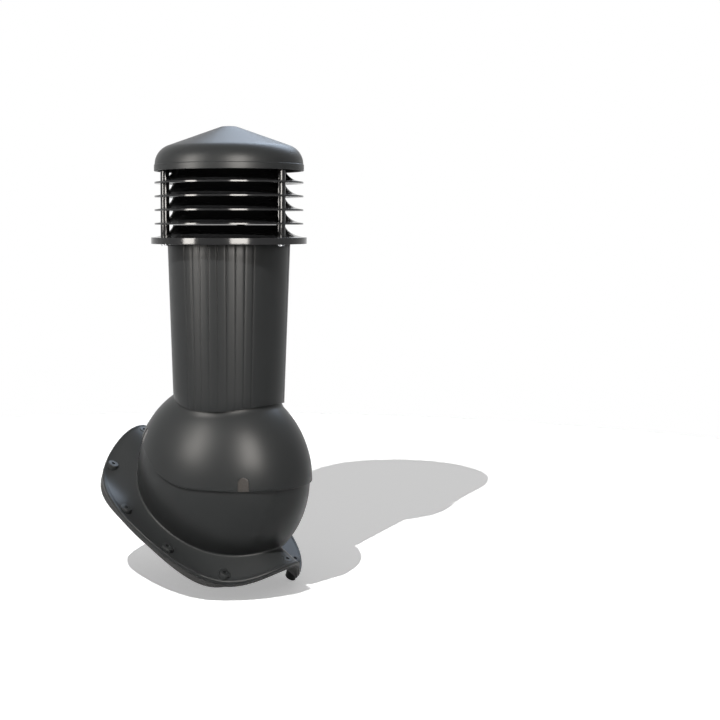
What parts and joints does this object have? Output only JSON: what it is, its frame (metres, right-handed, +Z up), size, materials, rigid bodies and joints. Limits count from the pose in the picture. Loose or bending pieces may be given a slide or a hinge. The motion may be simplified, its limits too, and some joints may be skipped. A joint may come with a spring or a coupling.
{
  "type": "roof vent pipe",
  "caption": "Roof vent pipe: wavy base plate with a ball joint, domed hinged body, fluted pipe and louvred hood with a conical cap, over a round duct spigot.",
  "frame": {"origin": "centre of the duct spigot's lower end", "axes": "+Z up along the pipe, +Y up the roof slope, +X across the slope towards the steep side of the tile wave"},
  "size_m": [0.245, 0.288, 0.5883],
  "materials": {
    "graphite": "satin moulded polypropylene",
    "gloss_graphite": "gloss moulded plastic",
    "black_rubber": "matte",
    "clip_grey": "semi-gloss",
    "zinc_steel": "zinc plated"
  },
  "bodies": {
    "roof_base": {"roof_plate": "graphite", "roof_gasket": "black_rubber", "mouth_seal": "black_rubber", "tilt_pin_left": "zinc_steel", "tilt_pin_right": "zinc_steel"},
    "vent_head": {"dome_shell": "graphite", "duct_spigot": "graphite", "lock_clip_front_left": "clip_grey", "lock_clip_front_right": "clip_grey", "lock_clip_rear_left": "clip_grey", "lock_clip_rear_right": "clip_grey", "vent_pipe": "graphite", "pipe_seal": "black_rubber", "hood_base_ring": "gloss_graphite", "louvre_ring_1": "gloss_graphite", "louvre_ring_2": "gloss_graphite", "louvre_ring_3": "gloss_graphite", "louvre_ring_4": "gloss_graphite", "hood_post_1": "gloss_graphite", "hood_post_2": "gloss_graphite", "hood_post_3": "gloss_graphite", "hood_screw_1": "zinc_steel", "hood_screw_2": "zinc_steel", "hood_screw_3": "zinc_steel", "rain_cap": "graphite"}
  },
  "joints": [
    {"name": "tilt", "type": "hinge", "parent": "roof_base", "child": "vent_head", "pos_m": [0, -0.0042, 0.038], "axis": [-1, 0, 0], "range_deg": [-7, 11]}
  ]
}
